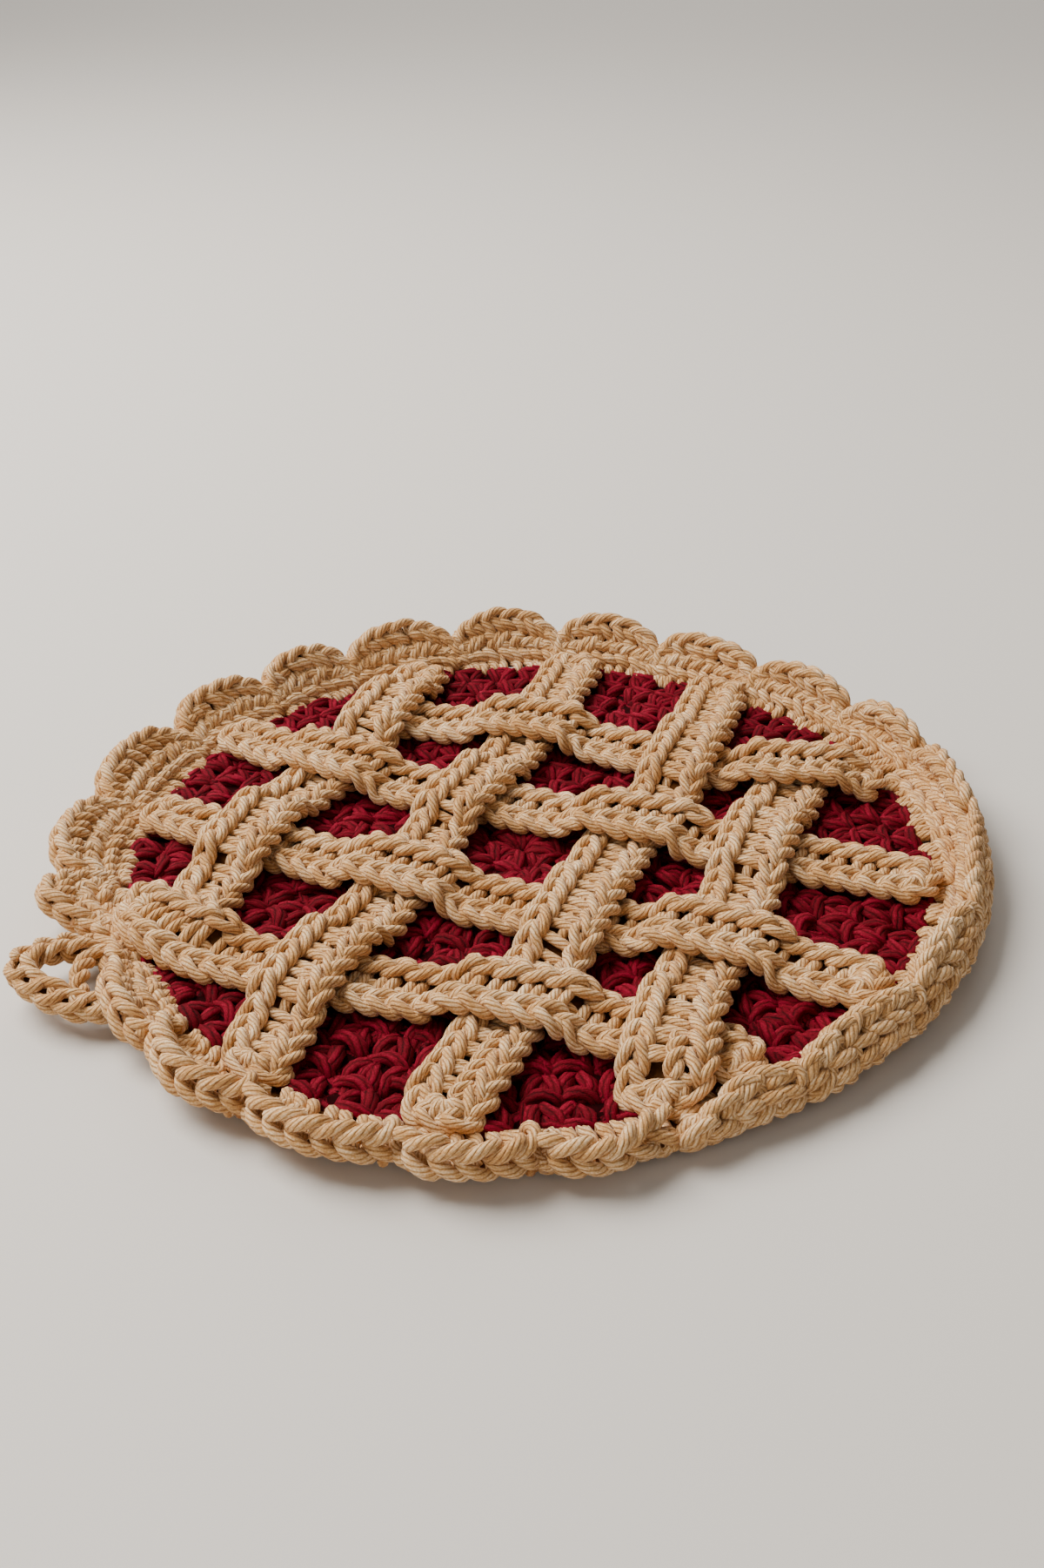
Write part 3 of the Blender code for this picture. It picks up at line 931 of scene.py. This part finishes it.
def rounded_half(strip, along):
    """Half the strip's width, its two ends being round."""
    first, last = strip.width(0.0) / 2, strip.width(strip.length) / 2
    near = np.sqrt(np.maximum(first**2 - np.maximum(first - along, 0) ** 2, 0))
    far = np.sqrt(np.maximum(last**2 - np.maximum(along - strip.length + last, 0) ** 2, 0))
    return np.minimum(np.where(along < first, near, 99.0), np.where(along > strip.length - last, far, 99.0))


def crochet_strip(name, table, crossed, seed, stub=None):
    """Makes one strip. stub: how far from its near end it's ribbed; 0 for a plain open end."""
    own = settings()
    strip = Strip(table, crossed, OVERHANG)
    open_end = stub is not None
    yarn = tan_yarn(seed)
    radius = own.lattice.thickness / MM / 2
    pitch = own.lattice.stitch / MM
    edge = strip_edge(strip, own.lattice.ridge / MM, own.lattice.lean, open_end)
    strands = ((INNER_LEG, 12, 8), (OUTER_LEG, 11, 8), (LEG_FILLER, 6, 8), (LEG_HEART, 5, 6))
    row_of(yarn, edge, pitch, strands, radius)
    furrow(yarn, strip, pitch * FURROW_PITCH, radius * 1.04, max(FURROW_STOP, stub or 0))
    end_fans(yarn, strip, radius * 0.96, open_end)
    if stub:
        ribbed_stub(yarn, strip, pitch, radius * 0.96, stub)
    stitches = stitched(name + "_stitches", yarn)
    strip_core(name, Strip(table, crossed))


def strip_core(name, strip):
    """The strip's core: a flat band that ends inside the red disc's edge and lies under the stitches."""
    along = np.linspace(2.0, strip.length - 2.0, max(8, int(strip.length / 3)))
    half = np.minimum(strip.width(along) / 2 - 2.0, rounded_half(strip, along) - 1.8)
    sections = np.stack([strip.place(along, side * half, up) for side, up in STRIP_CORE], axis=1)
    core = plain_core(name + "_core", sections)
    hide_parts(name)
    flat = (float(strip.width(strip.length / 2)) * MM, strip.length * MM)


class TRIVET_OT_lattice(bpy.types.Operator):
    """Crochets the eight lattice strips and weaves them over and under one another"""

    bl_idname = "trivet.lattice"
    bl_label = "Lattice strips"

    def execute(self, context):
        across = [strip_line(table) for table in ACROSS]
        along = [strip_line(table) for table in ALONG]
        for i, table in enumerate(ACROSS):
            crossed = [line for j, line in enumerate(along) if (i + j) % 2 == 1]
            crochet_strip(f"lattice_across_{i + 1}", table, crossed, 20 + i)
        for j, table in enumerate(ALONG):
            crossed = [line for i, line in enumerate(across) if (i + j) % 2 == 0]
            crochet_strip(f"lattice_along_{j + 1}", table, crossed, 30 + j, OPEN_ENDS.get(j + 1))
        return {"FINISHED"}


# --- the rim ---


def shell_track(start, end):
    """The track along a shell's edge, its face turned outward in the plane of the sheet."""
    share = 0.5 - 0.5 * np.cos(np.linspace(0, np.pi, 90))
    angle = start + (end - start) * share
    inside = np.clip(angle, start + 1e-6, end - 1e-6)
    low = lying_low((start + end) / 2)
    length = rim_values(inside)[-1]
    dip = 0.8 * low + 0.25 * standing((start + end) / 2)
    length = length * (0.93 - 0.04 * low) - dip * (1 - length)
    points, _, normal = rim_place(inside, length, np.full_like(inside, 2.7 * low))
    run = unit(np.gradient(points, axis=0))
    return Track(points, normal, np.cross(run, normal)), inside


def lying_low(angle):
    """1 on the shells that lie flat over the floor, 0 on the others."""
    first, last = LOW_SHELLS
    return smoothstep((angle - first) / 10.0) * smoothstep((last - angle) / 10.0)


def rolled_in(angle):
    """1 on the shells whose edge rolls in over their belly, 0 on the others."""
    _, belly, tip, _, _ = rim_values(angle)
    return smoothstep((belly - tip - 1.0) / 5.0)


def standing(angle):
    """1 on the shells that stand up or lean out, 0 on the low and the rolled ones."""
    return (1 - lying_low(angle)) * (1 - rolled_in(angle))


def chain_spread(angle):
    """Half the width of a shell's edge chain: loose and broad on the shells that lie low."""
    own = settings().rim
    return (own.spread + own.loosening * lying_low(angle)) / MM


def rim_strands(angle, reach, off, aside):
    """Points at angles and shares of the sheet, moved off its middle and sideways along the rim, in mm."""
    points, _, _ = rim_place(angle, reach, off)
    return points + polar(1.0, angle + 90.0, 0.0) * aside[..., None]


def root_points(angle, aside):
    """Where a post starts: down inside the red disc's edge, then up over it."""
    edge = edge_radius(angle)
    shown = 1 - 0.9 * lying_low(angle)
    sideways = polar(1.0, angle + 90.0, 0.0) * aside[:, None]
    found = []
    for inset, height in POST_ROOTS:
        spot = edge - np.where(inset > 0, inset * shown - 1.0 * (1 - shown), inset)
        found.append(polar(spot, angle, height) + sideways)
    return np.stack(found, axis=1)


def posts(yarn, roots, tips, radius, top=0.90, steps=14):
    """Double crochet posts from the disc's edge to the shell's edge: two strands wound about each other,
    with a short wrap over them on each face."""
    random = yarn.random
    count = len(roots)
    length = rim_values(tips)[-1]
    share = np.linspace(0.18, top, 5)
    angle = roots[:, None] + (tips - roots)[:, None] * share
    reach = share * length[:, None]
    turns = random.uniform(*POST_TURNS, (count, 1))
    begin = random.uniform(*POST_BEGIN, (count, 1))
    deep, wide = POST_WINDING
    for strand in (0, 1):
        phase = 2 * np.pi * (begin + strand / 2 + turns * share)
        wound = rim_strands(angle, reach, deep * np.sin(phase), wide * np.cos(phase))
        if strand == 0:
            wound = np.concatenate([root_points(roots, random.normal(0, 0.4, count)), wound], axis=1)
        yarn.lay(wound, steps, radius, columns=8)
    wrap(yarn, roots, tips, length, radius * 0.95)


def wrap(yarn, roots, tips, length, radius):
    """The slanting loop round the middle of each post."""
    across, off = np.array(WRAP).T
    for face in (-1, 1):
        height = yarn.random.uniform(0.42, 0.60, (len(roots), 1)) + 0.035 * face * across
        angle = roots[:, None] + (tips - roots)[:, None] * height
        path = rim_strands(angle, height * length[:, None], face * off + 0 * height, across + 0 * height)
        yarn.lay(path, 7, radius, columns=8)


def shell_posts(yarn, track, angles, radius, top):
    """A shell's fan of posts, closer together at the disc's edge than at the chain."""
    own = settings().rim
    middle = (angles[0] + angles[-1]) / 2
    pitch = own.post / MM * (1 - 0.16 * rolled_in(middle))
    count = max(3, int(round(track.length / pitch)))
    tips = np.interp((np.arange(count) + 0.5) / count * track.length, track.at, angles)
    tips = middle + (tips - middle) * 0.97
    posts(yarn, middle + (tips - middle) * own.fan, tips, radius, top)


def face_bumps(yarn, track, angles, radius, face, rows):
    """Rows of slanting bumps over one face of a shell, under its chain. rows: (down, slant, pitch)."""
    random = yarn.random
    shape = np.array(FACE_BUMP)
    for down, slant, pitch in rows:
        count = max(2, int(round((track.length - 4) / pitch)))
        start = 2 + (np.arange(count) + random.uniform(0.3, 0.7, count)) * (track.length - 4) / count
        along = start[:, None] + (shape[:, 0] + yarn.sway(0.10, count)) * pitch
        angle = np.interp(along, track.at, angles)
        fall = down + (shape[:, 1] - 1.9) * slant * random.uniform(0.3, 1.6, (count, 1)) + 1.9
        root, belly, tip, height, length = rim_values(angle)
        deep = np.hypot(belly - root, height / 4) + np.hypot(belly - tip, 0.75 * height)
        reach = length * np.maximum(1 - fall / (0.85 * deep), 0.10)
        off = face * (shape[:, 2] * random.uniform(0.95, 1.30, (count, 1)) + 0.1)
        yarn.lay(rim_strands(angle, reach, off, 0 * angle), 8, radius, columns=8)


def valley_posts(yarn, angles, radius):
    """Short stitches that hold the rim down between one shell and the next."""
    upright = standing(angles) > 0.5
    for shift in (-1.6, 1.6):
        for chosen, top in ((angles[upright], 0.64), (angles[~upright], 0.80)):
            posts(yarn, chosen + shift, chosen + shift * 0.75, radius, top=top, steps=12)


class TRIVET_OT_shell_rim(bpy.types.Operator):
    """Crochets the rim of shells into the disc's edge"""

    bl_idname = "trivet.shell_rim"
    bl_label = "Shell rim"

    def execute(self, context):
        own = settings()
        radius = own.tan.thickness / MM / 2
        chains = tan_yarn(seed=41)
        fans = tan_yarn(seed=42)
        bumps = tan_yarn(seed=43)
        for start, end in zip(SHELL_STARTS, SHELL_STARTS[1:]):
            track, angles = shell_track(start, end)
            spread = chain_spread((start + end) / 2)
            low = lying_low((start + end) / 2)
            size = radius * (0.86 + 0.07 * low)
            chain(chains, track, own.rim.stitch / MM, spread, size, steps=11, lift=-0.3)
            shell_posts(fans, track, angles, radius, top=0.90 - 0.15 * low)
            if rolled_in((start + end) / 2) > 0.5:
                face_bumps(bumps, track, angles, radius, -1, ROLLED_ROWS)
                face_bumps(bumps, track, angles, radius, 1, INNER_ROLLED_ROWS)
            elif low < 0.5:
                face_bumps(bumps, track, angles, radius, 1, STANDING_ROWS)
        valley_posts(fans, SHELL_STARTS[1:], radius * 0.95)
        edge = stitched("shell_rim_chain", chains)
        shaded_inner = stitched("shell_rim_posts", fans)
        face = stitched("shell_rim_bumps", bumps)
        core = plain_core("shell_rim_core", rim_core_sections(), closed=True)
        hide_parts("shell_rim")
        return {"FINISHED"}


def rim_core_sections():
    starts = zip(SHELL_STARTS, SHELL_STARTS[1:])
    angles = np.concatenate([np.linspace(start, end, 9)[:-1] for start, end in starts])
    length = rim_values(angles)[-1] * (1 - 0.20 * lying_low(angles))
    ring = [(share, CORE_HALF) for share in CORE_SHARES]
    ring += [(share, -CORE_HALF) for share in CORE_SHARES[::-1]]
    return np.stack([rim_place(angles, share * length, 0 * angles + off)[0] for share, off in ring], axis=1)


# --- the hanging loop ---


class TRIVET_OT_hanging_loop(bpy.types.Operator):
    """Crochets the hanging loop beside the first shell"""

    bl_idname = "trivet.hanging_loop"
    bl_label = "Hanging loop"

    def execute(self, context):
        own = settings()
        radius = own.lattice.thickness / MM / 2
        line = even_curve(LOOP_PATH, 0.7)
        run = unit(np.gradient(line, axis=0))
        out = unit(np.cross(run, [0.0, 0.0, 1.0]))
        up = np.cross(out, run)
        yarn = tan_yarn(seed=51)
        lean = math.radians(LOOP_LEAN)
        for way in (1, -1):
            face = way * up * math.cos(lean) + math.sin(lean) * out
            side = np.cross(face, run)
            chain(yarn, Track(line, side, face), LOOP_STITCH, LOOP_SPREAD, radius, steps=11, lift=0.40)
        join = even_curve(LOOP_JOIN, 0.9)
        phase = 2 * np.pi * lengths(join) / JOIN_TURN
        for strand in (0, np.pi):
            wound = joined(np.cos(phase + strand), 0.0, 0.7 * np.sin(phase + strand))
            yarn.lay((join + wound)[None], None, radius)
        stitched("hanging_loop_stitches", yarn)
        sections = np.stack([line + out * a + up * b for a, b in LOOP_CORE], axis=1)
        core = plain_core("hanging_loop_core", sections)
        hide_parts("hanging_loop")
        return {"FINISHED"}


# --- the stage ---


# (name, place, target, size in metres, its power's setting, colour)
LIGHTS = (
    ("window light", (-0.62, 0.30, 0.85), (0, 0, 0), 0.75, "key", (1.0, 0.97, 0.93)),
    ("fill light", (0.7, -0.5, 0.8), (0, 0, 0), 1.2, "fill", (1.0, 0.96, 0.90)),
    ("near light", (-0.55, -0.80, 0.22), (0, 0, 0), 0.7, "near", (1.0, 0.96, 0.92)),
    ("far light", (0.0, 2.6, 1.6), (0.0, 2.0, 0.0), 2.4, "far", (1.0, 0.98, 0.95)),
)
ROOM_COLOUR = (1.0, 0.96, 0.90, 1.0)
FLOOR_REACH = 6.0
SENSOR_WIDTH = 36.0


def area_light(name, place, target, size, power, colour):
    data = bpy.data.lights.new(name, "AREA")
    data.energy, data.size, data.color = power, size, colour
    light = bpy.data.objects.new(name, data)
    light.location = place
    light.rotation_euler = (Vector(place) - Vector(target)).to_track_quat("Z", "Y").to_euler()
    bpy.context.scene.collection.objects.link(light)


class TRIVET_OT_stage(bpy.types.Operator):
    """Sets the pale floor, the soft lights and the camera"""

    bl_idname = "trivet.stage"
    bl_label = "Stage"

    def execute(self, context):
        own = settings().stage
        mesh = bpy.data.meshes.new("floor")
        corners = [(x * FLOOR_REACH, y * FLOOR_REACH, 0) for x, y in ((-1, -1), (1, -1), (1, 1), (-1, 1))]
        mesh.from_pydata(corners, [], [(0, 1, 2, 3)])
        mesh.materials.append(plain_material("pale floor", tuple(own.floor), 0.7))
        floor = bpy.data.objects.new("floor", mesh)
        bpy.context.scene.collection.objects.link(floor)
        for name, place, target, size, power, colour in LIGHTS:
            area_light(name, place, target, size, getattr(own, power), colour)
        world = bpy.data.worlds.new("soft room")
        world.use_nodes = True
        room = world.node_tree.nodes["Background"].inputs
        room["Color"].default_value, room["Strength"].default_value = ROOM_COLOUR, own.room
        bpy.context.scene.world = world
        self.camera()
        return {"FINISHED"}

    def camera(self):
        own = settings().stage
        data = bpy.data.cameras.new("camera")
        data.sensor_width = SENSOR_WIDTH
        data.lens = own.lens
        data.clip_start = 0.005
        camera = bpy.data.objects.new("camera", data)
        tilt = Matrix.Rotation(math.pi / 2 - own.pitch, 4, "X")
        roll = Matrix.Rotation(own.roll, 4, "Z")
        camera.matrix_world = Matrix.Translation(own.camera) @ tilt @ roll
        bpy.context.scene.collection.objects.link(camera)
        bpy.context.scene.camera = camera


# --- settings ---


def a_number(name, description, default, **more):
    return bpy.props.FloatProperty(name=name, description=description, default=default, **more)


def a_length(name, description, default):
    return a_number(name, description, default, min=0.0, unit="LENGTH", precision=5)


def a_group(kind, name):
    return bpy.props.PointerProperty(type=kind, name=name)


def a_colour(name, description, default):
    more = {"size": 3, "min": 0, "max": 1, "subtype": "COLOR"}
    return bpy.props.FloatVectorProperty(name=name, description=description, default=default, **more)


class TanYarnSettings(bpy.types.PropertyGroup):
    thickness: a_length("Thickness", "How thick the tan yarn is", 0.0025)
    twist: a_length("Twist", "Length in which the plies turn once", 0.0100)
    # Deep is painted shade: the colour in the valleys between the plies, and of the darkest fibres.
    deep: a_colour("Deep", "Colour between the plies", (0.26, 0.092, 0.024))
    middle: a_colour("Middle", "Usual colour of the yarn", (0.59, 0.315, 0.112))
    # Pale is the colour of the lightest fibres and of the painted highlight on the ply crests.
    pale: a_colour("Pale", "Colour of the lightest fibres", (0.97, 0.755, 0.49))


class RedYarnSettings(bpy.types.PropertyGroup):
    thickness: a_length("Thickness", "How thick the red yarn is", 0.0031)
    twist: a_length("Twist", "Length in which the plies turn once", 0.030)
    # Deep is painted shade: the colour in the valleys between the plies, and of the darkest fibres.
    deep: a_colour("Deep", "Colour between the plies", (0.020, 0.0003, 0.001))
    middle: a_colour("Middle", "Usual colour of the yarn", (0.115, 0.0008, 0.0065))
    # Pale is the colour of the lightest fibres and of the painted highlight on the ply crests.
    pale: a_colour("Pale", "Colour of the lightest fibres", (0.30, 0.006, 0.030))


class DiscSettings(bpy.types.PropertyGroup):
    rounds: bpy.props.IntProperty(
        name="Rounds", description="Rounds of single crochet in the disc", default=12, min=4, max=30
    )
    stitch: a_length("Stitch", "Width of one red stitch", 0.0074)


class LatticeSettings(bpy.types.PropertyGroup):
    thickness: a_length("Thickness", "Thickness of the yarn in the strips and the loop", 0.00208)
    stitch: a_length("Stitch", "Length of one V stitch on a strip's edge", 0.0046)
    ridge: a_length("Ridge", "From a strip's edge to the middle of the ridge along it", 0.0030)
    lean: a_number("Lean", "How far the edge stitches lean outward, in degrees", 8.0)


class RimSettings(bpy.types.PropertyGroup):
    stitch: a_length("Stitch", "Length of one V stitch on a shell's edge", 0.0050)
    spread: a_length("Spread", "Half the distance between the two legs of a stitch", 0.00165)
    loosening: a_length("Loosening", "How much further the legs spread on the low shells", 0.0007)
    post: a_length("Post", "Distance between posts at a shell's edge", 0.0044)
    fan: a_number("Fan", "Width of a shell at its root, as a share of its edge", 0.78)
    height: a_length("Height", "Height of the flat band of shells", 0.0140)
    length: a_length("Length", "Length of the flat band of shells", 0.560)


class StageSettings(bpy.types.PropertyGroup):
    floor: a_colour("Floor", "Colour of the floor", (0.66, 0.62, 0.57))
    key: a_number("Window light", "Power of the main light", 26.0)
    fill: a_number("Fill light", "Power of the fill light", 1.2)
    near: a_number("Near light", "Power of the low light in front", 3.0)
    far: a_number("Far light", "Power of the light over the far floor", 40.0)
    room: a_number("Room light", "Strength of the even light", 0.16)
    lens: a_number("Lens", "Focal length in mm", 38.36)
    pitch: a_number("Pitch", "How far the camera looks down", 0.541, subtype="ANGLE")
    roll: a_number("Roll", "How far the camera leans sideways", -0.014, subtype="ANGLE")
    camera: bpy.props.FloatVectorProperty(
        name="Camera", description="Where the camera stands", default=(0.0, -0.2901, 0.1933), unit="LENGTH"
    )


class TrivetSettings(bpy.types.PropertyGroup):
    tan: a_group(TanYarnSettings, "Tan yarn")
    red: a_group(RedYarnSettings, "Red yarn")
    disc: a_group(DiscSettings, "Disc")
    lattice: a_group(LatticeSettings, "Lattice")
    rim: a_group(RimSettings, "Rim")
    stage: a_group(StageSettings, "Stage")


class TRIVET_PT_panel(bpy.types.Panel):
    """Lists the pieces of the trivet"""

    bl_idname = "TRIVET_PT_panel"
    bl_label = "Crochet trivet"
    bl_space_type = "VIEW_3D"
    bl_region_type = "UI"
    bl_category = "Trivet"

    def draw(self, context):
        for operator in OPERATORS:
            self.layout.operator(operator.bl_idname)
        for kind in TrivetSettings.__annotations__:
            own = getattr(context.scene.trivet, kind)
            box = self.layout.box()
            for name in own.__annotations__:
                box.prop(own, name)


OPERATORS = (
    TRIVET_OT_red_disc,
    TRIVET_OT_lattice,
    TRIVET_OT_hanging_loop,
    TRIVET_OT_shell_rim,
    TRIVET_OT_stage,
)
GROUPS = (
    TanYarnSettings,
    RedYarnSettings,
    DiscSettings,
    LatticeSettings,
    RimSettings,
    StageSettings,
    TrivetSettings,
)


def register():
    for kind in (*GROUPS, *OPERATORS, TRIVET_PT_panel):
        bpy.utils.register_class(kind)
    bpy.types.Scene.trivet = bpy.props.PointerProperty(type=TrivetSettings)


def unregister():
    del bpy.types.Scene.trivet
    for kind in reversed((*GROUPS, *OPERATORS, TRIVET_PT_panel)):
        bpy.utils.unregister_class(kind)


def main():
    register()
    bpy.ops.trivet.red_disc()
    bpy.ops.trivet.lattice()
    bpy.ops.trivet.hanging_loop()
    bpy.ops.trivet.shell_rim()
    bpy.ops.trivet.stage()


if __name__ == "__main__":
    main()
